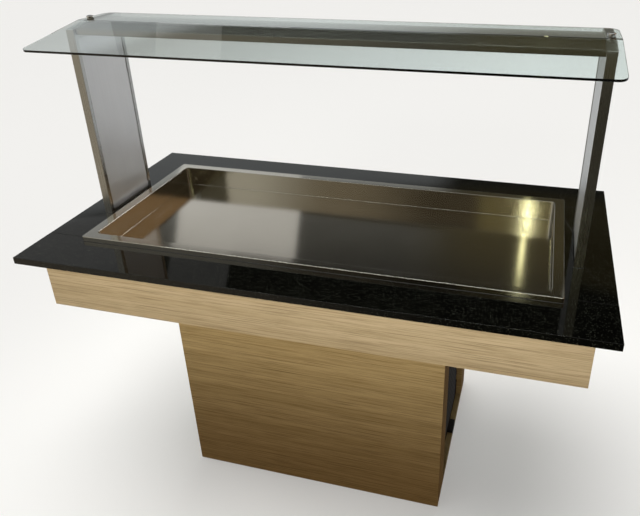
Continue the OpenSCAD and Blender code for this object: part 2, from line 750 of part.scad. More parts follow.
// Side outline of the bent glass: flat, arc, then a straight slope to the front edge
function arc_point(r, a) = [bend_y - r * sin(a), glass_z - bend_r + glass_t / 2 + r * cos(a)];
function slope_end(r) = arc_point(r, slope) + (glass_reach - bend_r * sin(slope)) * [-1, -tan(slope)];
module glass_outline() {
    outer = bend_r + glass_t / 2;
    inner = bend_r - glass_t / 2;
    polygon(concat(
        [[bend_y + glass_flat, glass_z], [bend_y + glass_flat, glass_z + glass_t]],
        [for (i = [0:bend_steps]) arc_point(outer, slope * i / bend_steps)],
        [slope_end(outer), slope_end(inner)],
        [for (i = [bend_steps:-1:0]) arc_point(inner, slope * i / bend_steps)]
    ));
}

// Plan of the canopy: small front corners, larger back corners
module glass_plan() {
    y0 = bend_y - glass_reach;
    y1 = bend_y + glass_flat;
    translate([-glass_l / 2, y0 + front_corner]) square([glass_l, y1 - y0 - front_corner - back_corner]);
    translate([-glass_l / 2 + front_corner, y0]) square([glass_l - 2 * front_corner, front_corner + 1]);
    translate([-glass_l / 2 + back_corner, y1 - back_corner - 1])
        square([glass_l - 2 * back_corner, back_corner + 1]);
    both_x(glass_l / 2 - front_corner) translate([0, y0 + front_corner]) circle(front_corner);
    both_x(glass_l / 2 - back_corner) translate([0, y1 - back_corner]) circle(back_corner);
}

// Bent canopy with rounded corners and a hole over each upright
module canopy_glass() color([0.75, 0.82, 0.80, 0.35]) difference() {
    intersection() {
        along_x(-glass_l / 2, glass_l / 2) glass_outline();
        translate([0, 0, counter_h]) linear_extrude(post_h + 40) glass_plan();
    }
    both_x(post_x) translate([0, knob_y, 0]) bar_z(knob_hole_r, post_top - 1, post_top + 20);
}

module glass_gaskets() color(black) both_x(post_x) difference() {
    span([-10, bend_y + 4, post_top], [10, bend_y + glass_flat - 10, post_top + gasket_t]);
    translate([0, knob_y, 0]) bar_z(knob_hole_r, post_top - 1, post_top + 5);
}

// Domed cap screw that clamps the glass
module cap_knob(side) color(steel) translate([side * post_x, knob_y, 0]) {
    z = glass_z + glass_t + 0.3;
    bar_z(knob_stud_r, nut_z, z + 2);
    translate([0, 0, z]) rotate_extrude()
        polygon([[0, 0], [9, 0], [10.5, 1.5], [10.5, 6], [9.5, 8], [7, 9.5], [0, 10]]);
}
module knob_left() cap_knob(-1);
module knob_right() cap_knob(1);

module cap_nuts() color(galv) both_x(post_x) translate([0, knob_y, 0]) difference() {
    bar_z(9, nut_z, post_top - sheet);
    bar_z(4, nut_z - 1, post_top);
}

pedestal_front();
pedestal_back();
side_frames();
vent_panel();
service_door();
door_pull();
door_pivots();
base_board();
carcass_battens();
foot_front_left();
foot_front_right();
foot_back_left();
foot_back_right();
frame_front();
frame_back();
frame_cross();
apron_front();
apron_back();
apron_left();
apron_right();
stone_front();
stone_back();
stone_left();
stone_right();
well_pan();
well_insulation();
well_casing();
evaporator_coil();
drain_strainer();
drain_plug();
drain_valve();
valve_lever();
drain_pipe();
unit_tray();
compressor();
condenser();
fan_shroud();
fan_blade();
refrigerant_lines();
control_plate();
control_housings();
thermostat_knob();
cooling_switch();
light_switch();
power_inlet();
upright_left();
upright_right();
upright_covers();
base_flanges();
stud_hardware();
light_beam();
beam_bolts();
lamp_tube();
lamp_holders();
diffuser();
canopy_glass();
glass_gaskets();
knob_left();
knob_right();
cap_nuts();
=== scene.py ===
import json
import math

import bmesh
import bpy
from mathutils import Matrix, Vector


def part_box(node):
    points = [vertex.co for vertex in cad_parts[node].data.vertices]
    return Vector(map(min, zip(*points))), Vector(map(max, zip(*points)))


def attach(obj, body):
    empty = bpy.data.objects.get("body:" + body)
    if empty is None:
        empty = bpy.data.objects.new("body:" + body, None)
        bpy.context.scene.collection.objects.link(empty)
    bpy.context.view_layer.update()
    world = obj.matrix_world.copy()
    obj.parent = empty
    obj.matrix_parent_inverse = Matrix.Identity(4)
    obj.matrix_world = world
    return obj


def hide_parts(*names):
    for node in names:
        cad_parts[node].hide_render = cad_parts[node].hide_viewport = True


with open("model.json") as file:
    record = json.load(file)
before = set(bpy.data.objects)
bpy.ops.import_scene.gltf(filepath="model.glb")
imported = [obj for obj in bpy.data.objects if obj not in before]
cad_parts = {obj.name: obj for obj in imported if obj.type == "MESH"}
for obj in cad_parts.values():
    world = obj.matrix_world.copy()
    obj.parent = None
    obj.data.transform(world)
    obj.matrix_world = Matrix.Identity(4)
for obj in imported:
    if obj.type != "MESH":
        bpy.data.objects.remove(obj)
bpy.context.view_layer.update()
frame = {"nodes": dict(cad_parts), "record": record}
MM = 0.001
TAU = 2 * math.pi


# ---- camera ----

def aim_camera():
    """The photograph's viewpoint: a person's eye at the front right, looking down over the counter."""
    azimuth, elevation, roll = (math.radians(a) for a in (-15.733, -27.429, -0.911))
    forward = Vector((math.sin(azimuth) * math.cos(elevation),
                      math.cos(azimuth) * math.cos(elevation), math.sin(elevation)))
    level = Vector((math.cos(azimuth), -math.sin(azimuth), 0))
    up = level.cross(forward)
    x_axis = level * math.cos(roll) + up * math.sin(roll)
    y_axis = up * math.cos(roll) - level * math.sin(roll)
    data = bpy.data.cameras.new("camera")
    data.sensor_width = 36
    data.lens = 36.337
    data.shift_x = -0.0697
    data.shift_y = -0.0394
    camera = bpy.data.objects.new("camera", data)
    camera.matrix_world = Matrix.Translation((0.57649, -1.70078, 1.68926)) @ Matrix((
        (x_axis.x, y_axis.x, -forward.x, 0), (x_axis.y, y_axis.y, -forward.y, 0),
        (x_axis.z, y_axis.z, -forward.z, 0), (0, 0, 0, 1)))
    bpy.context.scene.collection.objects.link(camera)
    bpy.context.scene.camera = camera


# ---- materials ----

class Surface:
    """A Principled material with its maps made from the object's own coordinates, in metres."""

    def __init__(self, name, color, **sockets):
        self.material = bpy.data.materials.new(name)
        self.material.use_nodes = True
        self.tree = self.material.node_tree
        self.shader = self.tree.nodes["Principled BSDF"]
        self.shader.inputs["Base Color"].default_value = (*color, 1)
        for socket, value in sockets.items():
            self.shader.inputs[socket.replace("_", " ")].default_value = value
        self.place = self.add("ShaderNodeTexCoord").outputs["Object"]

    def add(self, kind, **settings):
        node = self.tree.nodes.new(kind)
        for key, value in settings.items():
            setattr(node, key, value)
        return node

    def link(self, source, target):
        self.tree.links.new(source, target)

    def scaled(self, x, y, z, source=None):
        node = self.add("ShaderNodeMapping")
        node.inputs["Scale"].default_value = (x, y, z)
        self.link(source or self.place, node.inputs["Vector"])
        return node.outputs["Vector"]

    def noise(self, vector, detail=2.0, roughness=0.5, scale=1.0, distortion=0.0):
        node = self.add("ShaderNodeTexNoise")
        node.inputs["Scale"].default_value = scale
        node.inputs["Detail"].default_value = detail
        node.inputs["Roughness"].default_value = roughness
        node.inputs["Distortion"].default_value = distortion
        self.link(vector, node.inputs["Vector"])
        return node.outputs["Fac"]

    def cells(self, vector, scale, output="Distance"):
        node = self.add("ShaderNodeTexVoronoi")
        node.inputs["Scale"].default_value = scale
        self.link(vector, node.inputs["Vector"])
        return node.outputs[output]

    def remap(self, value, low, high, to_low=0.0, to_high=1.0):
        node = self.add("ShaderNodeMapRange")
        for socket, number in zip(("From Min", "From Max", "To Min", "To Max"),
                                  (low, high, to_low, to_high)):
            node.inputs[socket].default_value = number
        self.link(value, node.inputs["Value"])
        return node.outputs["Result"]

    def maths(self, operation, a, b):
        node = self.add("ShaderNodeMath", operation=operation)
        for socket, value in zip(node.inputs, (a, b)):
            if isinstance(value, (int, float)):
                socket.default_value = value
            else:
                self.link(value, socket)
        return node.outputs["Value"]

    def blend(self, factor, a, b, mode="MIX"):
        node = self.add("ShaderNodeMix", data_type="RGBA", blend_type=mode)
        colours = [s for s in node.inputs if s.type == "RGBA"]
        if isinstance(factor, (int, float)):
            node.inputs["Factor"].default_value = factor
        else:
            self.link(factor, node.inputs["Factor"])
        for socket, value in zip(colours, (a, b)):
            if isinstance(value, tuple):
                socket.default_value = (*value, 1)
            else:
                self.link(value, socket)
        return [s for s in node.outputs if s.type == "RGBA"][0]

    def color(self, source):
        self.link(source, self.shader.inputs["Base Color"])

    def rough(self, value, low, high):
        """Roughness from low to high as value goes from 0 to 1."""
        self.link(self.remap(value, 0, 1, low, high), self.shader.inputs["Roughness"])

    def bump(self, height, distance, strength=1.0):
        node = self.add("ShaderNodeBump")
        node.inputs["Distance"].default_value = distance
        node.inputs["Strength"].default_value = strength
        self.link(height, node.inputs["Height"])
        self.link(node.outputs["Normal"], self.shader.inputs["Normal"])


def wood(name, pale, mid, dark):
    """Oak laminate: fibres, streaks, broad bands and short dark pores, along the board's length."""
    s = Surface(name, mid, Roughness=0.5, Specular_IOR_Level=0.22)
    split = s.add("ShaderNodeSeparateXYZ")
    s.link(s.place, split.inputs[0])
    along = s.maths("ADD", split.outputs["X"], split.outputs["Y"])
    join = s.add("ShaderNodeCombineXYZ")
    s.link(along, join.inputs["X"])
    s.link(split.outputs["Z"], join.inputs["Z"])
    flat = join.outputs[0]
    sway = s.maths("MULTIPLY", s.noise(s.scaled(1.6, 1, 7, flat)), 0.010)
    s.link(s.maths("ADD", split.outputs["Z"], sway), join.inputs["Y"])
    fibres = s.noise(s.scaled(4, 900, 0, flat), detail=3, roughness=0.6)
    streaks = s.noise(s.scaled(4.0, 230, 0, flat), detail=6, roughness=0.75)
    lines = s.remap(s.noise(s.scaled(3.2, 290, 0, flat), detail=3, roughness=0.65), 0.55, 0.66)
    bands = s.noise(s.scaled(0.45, 26, 0, flat), detail=3)
    pores = s.remap(s.noise(s.scaled(11, 620, 0, flat), detail=1), 0.64, 0.72)
    tone = s.blend(s.remap(bands, 0.36, 0.64), mid, pale)
    tone = s.blend(s.remap(streaks, 0.47, 0.64, 0, 0.90), tone, dark)
    tone = s.blend(s.maths("MULTIPLY", lines, 0.80), tone, tuple(c * 0.62 for c in dark))
    tone = s.blend(s.remap(fibres, 0.35, 0.75, 0, 0.35), tone, dark)
    tone = s.blend(s.maths("MULTIPLY", pores, 0.45), tone, tuple(c * 0.5 for c in dark))
    s.color(tone)
    s.rough(fibres, 0.44, 0.60)
    s.bump(s.maths("SUBTRACT", fibres, pores), 0.00012, 0.5)
    return s.material


def granite():
    """Black polished granite: dense grey-green flecks, sparse bright ones, a hint of cloudiness."""
    s = Surface("granite", (0.003, 0.003, 0.003), Roughness=0.05, IOR=1.45)
    cloud = s.noise(s.place, detail=5, roughness=0.6, scale=28)
    tone = s.blend(s.remap(cloud, 0.35, 0.7), (0.0004, 0.0004, 0.0003), (0.0014, 0.0015, 0.0011))
    grey = s.remap(s.cells(s.place, 190), 0.32, 0.16)
    bright = s.remap(s.cells(s.place, 150), 0.12, 0.04)
    chosen = s.remap(s.noise(s.place, detail=2, scale=90), 0.50, 0.62)
    tone = s.blend(s.maths("MULTIPLY", grey, 0.7), tone, (0.030, 0.032, 0.026))
    tone = s.blend(s.maths("MULTIPLY", bright, chosen), tone, (0.13, 0.13, 0.10))
    s.color(tone)
    s.rough(s.noise(s.place, detail=3, scale=9), 0.03, 0.06)
    return s.material


def brushed(name, color, roughness, along, depth, stain, spread):
    """Stainless steel brushed along an axis, with wipe marks; spread draws highlights across the brush."""
    s = Surface(name, color, Metallic=1.0, Roughness=roughness, Anisotropic=spread)
    tangent = s.add("ShaderNodeTangent", direction_type="RADIAL", axis=along)
    s.link(tangent.outputs[0], s.shader.inputs["Tangent"])
    stretch = [900.0 if axis != along else 4.0 for axis in "XYZ"]
    lines = s.noise(s.scaled(*stretch), detail=4, roughness=0.7)
    marks = s.noise(s.place, detail=4, roughness=0.6, scale=5, distortion=0.6)
    darker = tuple(c * (1 - stain) for c in color)
    tone = s.blend(s.remap(marks, 0.35, 0.7), darker, color)
    tone = s.blend(s.remap(lines, 0.3, 0.7, 0, 0.35), tone, tuple(c * 0.80 for c in color))
    s.color(tone)
    mixed = s.maths("ADD", s.maths("MULTIPLY", lines, 0.6), s.maths("MULTIPLY", marks, 0.4))
    s.rough(mixed, roughness * 0.7, roughness * 1.3)
    s.bump(lines, 0.00004, depth)
    return s.material


def polished(name, color, roughness=0.06):
    """Polished metal with hairline scratches and fingerprints."""
    s = Surface(name, color, Metallic=1.0, Roughness=roughness)
    prints = s.noise(s.place, detail=4, scale=160, distortion=1.2)
    s.rough(prints, roughness * 0.6, roughness * 2.4)
    s.color(s.blend(s.remap(prints, 0.4, 0.7), tuple(c * 0.9 for c in color), color))
    s.bump(s.noise(s.scaled(900, 900, 300), detail=2), 0.00001, 0.3)
    return s.material


def moulded(name, color, roughness=0.5, grain=1800, depth=0.00008, shine=0.5):
    """Plastic, rubber or paint with a fine moulded grain and slight dust."""
    s = Surface(name, color, Roughness=roughness, Specular_IOR_Level=shine)
    fine = s.noise(s.place, detail=2, scale=grain)
    dust = s.noise(s.place, detail=5, scale=14)
    worn = tuple(min(1, c * 1.25 + 0.012) for c in color)
    s.color(s.blend(s.remap(dust, 0.45, 0.75), color, worn))
    s.rough(dust, roughness - 0.08, roughness + 0.12)
    s.bump(fine, depth, 0.6)
    return s.material


def galvanised(name, color, roughness=0.42):
    """Zinc coat: angular spangle in two tones."""
    s = Surface(name, color, Metallic=1.0, Roughness=roughness)
    cell = s.cells(s.place, 150, "Color")
    grey = s.add("ShaderNodeSeparateColor")
    s.link(cell, grey.inputs[0])
    tone = s.blend(grey.outputs[0], tuple(c * 0.78 for c in color), color)
    cloud = s.noise(s.place, detail=4, scale=7)
    s.color(s.blend(s.remap(cloud, 0.5, 0.8, 0, 0.5), tone, tuple(c * 0.6 for c in color)))
    s.rough(grey.outputs[1], roughness - 0.1, roughness + 0.15)
    return s.material


def see_through(name, tint, roughness, cast):
    """Glass or frosted sheet; rays from the lamps pass it, dimmed to cast."""
    s = Surface(name, tint, Roughness=roughness, IOR=1.5, Transmission_Weight=1.0)
    smears = s.noise(s.place, detail=4, scale=6, distortion=0.8)
    s.rough(s.remap(smears, 0.45, 0.8), roughness, roughness + 0.03)
    clear = s.add("ShaderNodeBsdfTransparent")
    clear.inputs["Color"].default_value = (*cast, 1)
    rays = s.add("ShaderNodeLightPath")
    either = s.add("ShaderNodeMixShader")
    s.link(rays.outputs["Is Shadow Ray"], either.inputs[0])
    s.link(s.shader.outputs[0], either.inputs[1])
    s.link(clear.outputs[0], either.inputs[2])
    s.link(either.outputs[0], s.tree.nodes["Material Output"].inputs["Surface"])
    return s.material


MATERIALS = {
    "apron_oak": wood("apron_oak", (0.62, 0.50, 0.33), (0.52, 0.41, 0.26), (0.34, 0.25, 0.145)),
    # The pedestal's oak is the apron's oak made darker and browner: the difference is painted shade.
    "pedestal_oak": wood("pedestal_oak", (0.56, 0.42, 0.22), (0.46, 0.34, 0.165), (0.28, 0.19, 0.08)),
    "carcass_wood": wood("carcass_wood", (0.10, 0.07, 0.04), (0.08, 0.055, 0.03), (0.05, 0.03, 0.017)),
    "granite": granite(),
    "pan_steel": brushed("pan_steel", (0.56, 0.54, 0.49), 0.12, "X", 0.10, 0.06, 0.8),
    "post_steel": brushed("post_steel", (0.50, 0.50, 0.48), 0.28, "Z", 0.6, 0.08, 0.35),
    "cover_steel": brushed("cover_steel", (0.66, 0.66, 0.66), 0.50, "Z", 0.5, 0.06, 0.10),
    # The beam's steel is a dark olive copy of the brushed steel: its darkness is painted shade.
    "beam_steel": brushed("beam_steel", (0.31, 0.30, 0.26), 0.20, "X", 0.35, 0.08, 0.30),
    "galvanised": galvanised("galvanised", (0.55, 0.58, 0.60)),
    "polished_trim": polished("polished_trim", (0.72, 0.72, 0.72)),
    "black_metal": moulded("black_metal", (0.012, 0.010, 0.008), 0.55, 900, shine=0.18),
    "fan_grey": moulded("fan_grey", (0.16, 0.18, 0.20), 0.45, 900),
    "black_plastic": moulded("black_plastic", (0.012, 0.012, 0.013), 0.45),
    "white_plastic": moulded("white_plastic", (0.80, 0.80, 0.77), 0.40),
    "pipe_plastic": moulded("pipe_plastic", (0.55, 0.56, 0.56), 0.38),
    "green_plastic": moulded("green_plastic", (0.02, 0.22, 0.06), 0.22),
    "red_plastic": moulded("red_plastic", (0.45, 0.02, 0.015), 0.28),
    "foam": moulded("foam", (0.72, 0.62, 0.36), 0.85, 700, 0.0006),
    "brass": polished("brass", (0.60, 0.42, 0.16), 0.22),
    "copper": polished("copper", (0.72, 0.34, 0.19), 0.25),
    "rubber": moulded("rubber", (0.016, 0.016, 0.016), 0.65, 1400),
    "lamp_glass": moulded("lamp_glass", (0.86, 0.87, 0.84), 0.18),
    "diffuser": see_through("diffuser", (0.90, 0.93, 0.93), 0.55, (0.75, 0.77, 0.77)),
    "clear_glass": see_through("clear_glass", (0.86, 0.92, 0.91), 0.015, (0.82, 0.86, 0.84)),
}


# ---- mesh helpers ----

def piece(name, mesh_data, body, slot, smooth=40, replaced=(), rounding=0):
    """Wraps a bmesh as a piece that rides on a body, takes the finish of a slot and has true flat faces."""
    bmesh.ops.recalc_face_normals(mesh_data, faces=mesh_data.faces)
    mesh = bpy.data.meshes.new(name)
    mesh_data.to_mesh(mesh)
    mesh_data.free()
    obj = bpy.data.objects.new(name, mesh)
    bpy.context.scene.collection.objects.link(obj)
    mesh.shade_smooth()
    mesh.set_sharp_from_angle(angle=math.radians(smooth))
    mesh.materials.append(MATERIALS[slot])
    if rounding:
        round_edges(obj, rounding, 50)
    flat = obj.modifiers.new("flat_faces", "WEIGHTED_NORMAL")
    flat.keep_sharp = True
    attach(obj, body)
    if replaced:
        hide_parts(*replaced)
    return obj


def round_edges(obj, width, angle):
    bevel = obj.modifiers.new("round_edges", "BEVEL")
    bevel.width = width
    bevel.segments = 2
    bevel.limit_method = "ANGLE"
    bevel.angle_limit = math.radians(angle)
    bevel.harden_normals = True


def loft(bm, rings, ends=(True, True), loop=False):
    """Skins rings of equally many points; ends says which are capped, loop joins the last to the first."""
    made = [[bm.verts.new(p) for p in ring] for ring in rings]
    count = len(made[0])
    pairs = list(zip(made, made[1:])) + ([(made[-1], made[0])] if loop else [])
    for low, high in pairs:
        for i in range(count):
            j = (i + 1) % count
            bm.faces.new((low[i], low[j], high[j], high[i]))
    if not loop:
        if ends[0]:
            bm.faces.new(list(reversed(made[0])))
        if ends[1]:
            bm.faces.new(made[-1])
    return made


def fill(bm, *loops):
    """Triangles between a flat outline and the holes in it."""
    edges = []
    for loop in loops:
        for a, b in zip(loop, loop[1:] + loop[:1]):
            edges.append(bm.edges.get((a, b)) or bm.edges.new((a, b)))
    bmesh.ops.triangle_fill(bm, edges=edges, use_beauty=True)


def circle(x, y, radius, z, sides=48):
    return [Vector((x + radius * math.cos(TAU * k / sides), y + radius * math.sin(TAU * k / sides), z))
            for k in range(sides)]


def middle(node):
    """Centre of a CAD node's box."""
    low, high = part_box(node)
    return (low + high) / 2


def rounded_ring(half_x, half_y, radius, z, centre=(0, 0), steps=6):
    """Points round a rectangle with round corners."""
    ring = []
    for quarter, (sx, sy) in enumerate(((1, 1), (-1, 1), (-1, -1), (1, -1))):
        for k in range(steps + 1):
            a = math.pi / 2 * (quarter + k / steps)
            ring.append(Vector((centre[0] + sx * (half_x - radius) + radius * math.cos(a),
                                centre[1] + sy * (half_y - radius) + radius * math.sin(a), z)))
    return ring


def lathe(bm, profile, origin, axis="Z", sides=48, bore=False, flutes=18):
    """Turns (radius, height) points in mm about an axis; a third number is the depth of flutes."""
    turn = {"Z": Matrix.Identity(3), "X": Matrix.Rotation(math.pi / 2, 3, "Y"),
            "Y": Matrix.Rotation(-math.pi / 2, 3, "X"), "-X": Matrix.Rotation(-math.pi / 2, 3, "Y")}[axis]
    rings = []
    for radius, height, *wave in profile:
        ring = []
        for k in range(sides):
            a = TAU * k / sides
            r = radius + (wave[0] * math.cos(flutes * a) if wave else 0)
            ring.append(Vector(origin) + turn @ Vector((r * math.cos(a), r * math.sin(a), height)) * MM)
        rings.append(ring)
    loft(bm, rings, loop=bore)


def bent_path(points, radius, steps=6):
    """A path with its corners turned into arcs; every inner point is a corner of 90 degrees."""
    path = [points[0]]
    for before, at, after in zip(points, points[1:], points[2:]):
        u = (before - at).normalized()
        v = (after - at).normalized()
        centre = at + (u + v) * radius
        for k in range(steps + 1):
            a = math.pi / 2 * k / steps
            path.append(centre - v * radius * math.cos(a) - u * radius * math.sin(a))
    return path + [points[-1]]


def tube(bm, path, radius, sides=16):
    """A round tube along a path, with a frame carried along without twist."""
    way = (path[1] - path[0]).normalized()
    side = way.orthogonal().normalized()
    rings = []
    for i, at in enumerate(path):
        ahead = path[min(i + 1, len(path) - 1)] - path[max(i - 1, 0)]
        side = (side - ahead.normalized() * side.dot(ahead.normalized())).normalized()
        up = ahead.normalized().cross(side)
        rings.append([at + (side * math.cos(TAU * k / sides) + up * math.sin(TAU * k / sides)) * radius
                      for k in range(sides)])
    loft(bm, rings)


def block(bm, low, high, inset=0.4, turn=None):
    """A box with chamfered edges, in mm; turn is a matrix applied to it."""
    made = bmesh.ops.create_cube(bm, size=1)
    centre = (Vector(low) + Vector(high)) / 2
    size = Vector(high) - Vector(low)
    for v in made["verts"]:
        v.co = Vector(v.co[i] * size[i] + centre[i] for i in range(3)) * MM
    corners = made["verts"]
    if inset:
        edges = {e for v in corners for e in v.link_edges}
        cut = bmesh.ops.bevel(bm, geom=list(edges), offset=inset * MM, segments=2, profile=0.7,
                              affect="EDGES")
        corners = list(set(cut["verts"]))
    if turn:
        bmesh.ops.transform(bm, matrix=turn, verts=corners)


def soften(node, width, angle=35):
    """Rounds a CAD node's edges with modifiers, without touching its mesh."""
    obj = frame["nodes"][node]
    weld = obj.modifiers.new("weld", "WELD")
    weld.merge_threshold = 0.00001
    round_edges(obj, width, angle)


# ---- pieces ----

def pan():
    """Pressed well: floor with a dish for the drain, coved corners, walls, flat rim with a folded skirt."""
    lo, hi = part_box("well_pan")
    sheet = 1.5 * MM
    rim = 30 * MM
    half_x = hi.x - rim
    half_y = hi.y - rim
    floor_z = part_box("drain_strainer")[1].z
    under = floor_z - sheet
    stone_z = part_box("stone_front")[1].z
    bend = 1.6 * MM
    cove = 1.2 * MM
    corner = 12 * MM

    def arc(cx, cz, radius, start, end, steps=4):
        return [(cx + radius * math.cos(math.radians(start + (end - start) * k / steps)),
                 cz + radius * math.sin(math.radians(start + (end - start) * k / steps)))
                for k in range(steps + 1)]

    profile = [(-cove - 4 * MM, under)]
    profile += arc(-cove, under + cove + sheet, cove + sheet, -90, 0)
    profile += arc(bend + sheet, hi.z - bend - sheet, bend, 180, 90, 3)
    profile += [(rim - bend, hi.z - sheet), (rim - sheet, hi.z - bend), (rim - sheet, stone_z)]
    profile += [(rim, stone_z)]
    profile += arc(rim - bend, hi.z - bend, bend, 0, 90)
    profile += arc(bend, hi.z - bend, bend, 90, 180)
    profile += arc(-cove, floor_z + cove, cove, 0, -90)
    profile += [(-cove - 4 * MM, floor_z)]
    bm = bmesh.new()
    rings = []
    for offset, z in profile:
        radius = max(corner + offset, 3 * MM) if offset < 0 else corner - 6 * MM * min(1, offset / rim)
        rings.append(rounded_ring(half_x + offset, half_y + offset, radius, z))
    walls = loft(bm, rings, ends=(False, False))
    drain = middle("drain_strainer")
    dish = [(25, floor_z), (23.3, floor_z), (22.5, floor_z - 0.8 * MM), (22.5, floor_z - 2 * MM),
            (16, floor_z - 2 * MM), (16, lo.z), (24, lo.z), (24, under), (27, under)]
    drum = loft(bm, [circle(drain.x, drain.y, r * MM, z) for r, z in dish], ends=(False, False))
    fill(bm, walls[-1], drum[0])
    fill(bm, walls[0], drum[-1])
    return piece("pan_shell", bm, "root", "pan_steel", 50, ["well_pan"])


def sealant():
    """Thin beads of sealant round the pan's rim and each upright's foot."""
    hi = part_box("well_pan")[1]
    stone_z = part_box("stone_front")[1].z
    bm = bmesh.new()

    def bead(half_x, half_y, radius, centre, width):
        section = [(-0.3 * MM, 0), (width, 0), (width * 0.35, width * 0.35), (0, width), (-0.3 * MM, width)]
        loft(bm, [rounded_ring(half_x + out, half_y + out, radius + out, stone_z + up, centre)
                  for out, up in section], loop=True)

    bead(hi.x, hi.y, 6 * MM, (0, 0), 1.4 * MM)
    for node in ("upright_left", "upright_right"):
        low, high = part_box(node)
        at = middle(node)
        bead((high.x - low.x) / 2, (high.y - low.y) / 2, 0.7 * MM, (at.x, at.y), 1.2 * MM)
    piece("sealant_beads", bm, "root", "rubber", 60)


def canopy():
    """Bent glass with rounded corners, ground edges and a hole over each upright."""
    lo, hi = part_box("canopy_glass")
    thick = 6 * MM
    half = hi.x
    bend_y = -37 * MM
    bend_r = 63 * MM
    slope = math.radians(8.2)
    front_corner = 22 * MM
    back_corner = 30 * MM
    top = hi.z
    arc_y = bend_y - bend_r * math.sin(slope)

    def surface(y):
        """Height and tilt of the upper face at y."""
        if y >= bend_y:
            return top, 0.0
        if y > arc_y:
            tilt = math.asin((bend_y - y) / bend_r)
            return top - bend_r * (1 - math.cos(tilt)), tilt
        drop = bend_r * (1 - math.cos(slope)) + (arc_y - y) * math.tan(slope)
        return top - drop, slope

    def half_width(y):
        front = y - lo.y
        back = hi.y - y
        if front < front_corner:
            return half - front_corner + math.sqrt(max(0, front_corner**2 - (front_corner - front)**2))
        if back < back_corner:
            return half - back_corner + math.sqrt(max(0, back_corner**2 - (back_corner - back)**2))
        return half

    def corner_rows(start, radius, sign):
        return [start + sign * radius * (1 - math.cos(math.pi / 2 * k / 8)) for k in range(9)]

    rows = corner_rows(lo.y, front_corner, 1)
    rows += [lo.y + front_corner + (arc_y - lo.y - front_corner) * k / 4 for k in range(1, 4)]
    rows += [arc_y + (bend_y - arc_y) * k / 8 for k in range(9)]
    back_rows = list(reversed(corner_rows(hi.y, back_corner, -1)))
    holes = [middle("knob_left"), middle("knob_right")]
    columns = 12
    bm = bmesh.new()
    outlines = []
    rims = []
    for side in (0, 1):
        grid = []
        for y in rows:
            z, tilt = surface(y)
            y_at = y + side * thick * math.sin(tilt)
            z_at = z - side * thick * math.cos(tilt)
            width = half_width(y)
            grid.append([bm.verts.new((width * (2 * c / columns - 1), y_at, z_at))
                         for c in range(columns + 1)])
        for a, b in zip(grid, grid[1:]):
            for c in range(columns):
                bm.faces.new((a[c], a[c + 1], b[c + 1], b[c]))
        level = top - side * thick
        right = [bm.verts.new((half_width(y), y, level)) for y in back_rows]
        left = [bm.verts.new((-half_width(y), y, level)) for y in reversed(back_rows)]
        rim = [[bm.verts.new(p) for p in circle(at.x, at.y, 7 * MM, level, 32)] for at in holes]
        fill(bm, grid[-1] + right + left, *rim)
        outlines.append(grid[0] + [row[-1] for row in grid[1:]] + right + left
                        + [row[0] for row in reversed(grid[1:])])
        rims.append(rim)
    for above, below in [outlines] + list(zip(*rims)):
        for i in range(len(above)):
            j = (i + 1) % len(above)
            bm.faces.new((above[i], above[j], below[j], below[i]))
    return piece("canopy", bm, "root", "clear_glass", 40, ["canopy_glass"], 0.8 * MM)


def cap_knob(side):
    """Polished cap screw: washer face, waist and shallow dome."""
    lo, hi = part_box("knob_" + side)
    at = middle("knob_" + side)
    base = hi.z / MM - 10
    profile = [(0, lo.z / MM), (3.5, lo.z / MM), (3.95, lo.z / MM + 1), (3.95, base)]
    profile += [(10.0, base), (10.5, base + 0.5), (10.5, base + 1.6), (9.2, base + 2.4), (9.2, base + 3.4)]
    profile += [(10.5, base + 4.2), (10.5, base + 6.2)]
    profile += [(10.5 * math.cos(a), base + 6.2 + 3.8 * math.sin(a))
                for a in (math.pi / 2 * k / 8 for k in range(1, 9))]
    bm = bmesh.new()
    lathe(bm, profile, (at.x, at.y, 0), "Z", 64)
    piece("cap_screw_" + side, bm, "cap_" + side, "polished_trim", 35, ["knob_" + side])


def louvres(node, body, side):
    """Pressed hoods over the slots of a louvred leaf that faces +X or -X."""
    lo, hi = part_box(node)
    face = hi.x if side > 0 else lo.x
    bm = bmesh.new()
    for i in range(12):
        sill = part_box("service_door")[0].z + (60 + 40 * i) * MM
        rings = []
        for y, swell in ((-153, 0.02), (-151.5, 0.6), (-148, 1), (148, 1), (151.5, 0.6), (153, 0.02)):
            curve = [(6.5 * math.sin(a), 17 - 15 * (1 - math.cos(a)))
                     for a in (math.pi / 12 * k for k in range(7))]
            inner = [(5.4 * math.sin(a), 15.9 - 13.9 * (1 - math.cos(a)))
                     for a in (math.pi / 12 * k for k in range(6, -1, -1))]
            outline = [(-0.3, 17)] + curve + inner + [(-0.3, 15.9)]
            rings.append([Vector((face + side * out * swell * MM, y * MM, sill + up * MM))
                          for out, up in outline])
        loft(bm, rings)
    piece(node + "_louvres", bm, body, "black_metal", 45)


def screw(bm, at, axis, radius):
    """Button-head screw with a socket; at is on the surface, in metres."""
    r = radius
    lathe(bm, [(0, 0), (r, 0), (r, r * 0.2), (r * 0.8, r * 0.55), (r * 0.5, r * 0.68), (r * 0.42, r * 0.66),
               (r * 0.40, r * 0.25), (0, r * 0.25)], at, axis, 24)


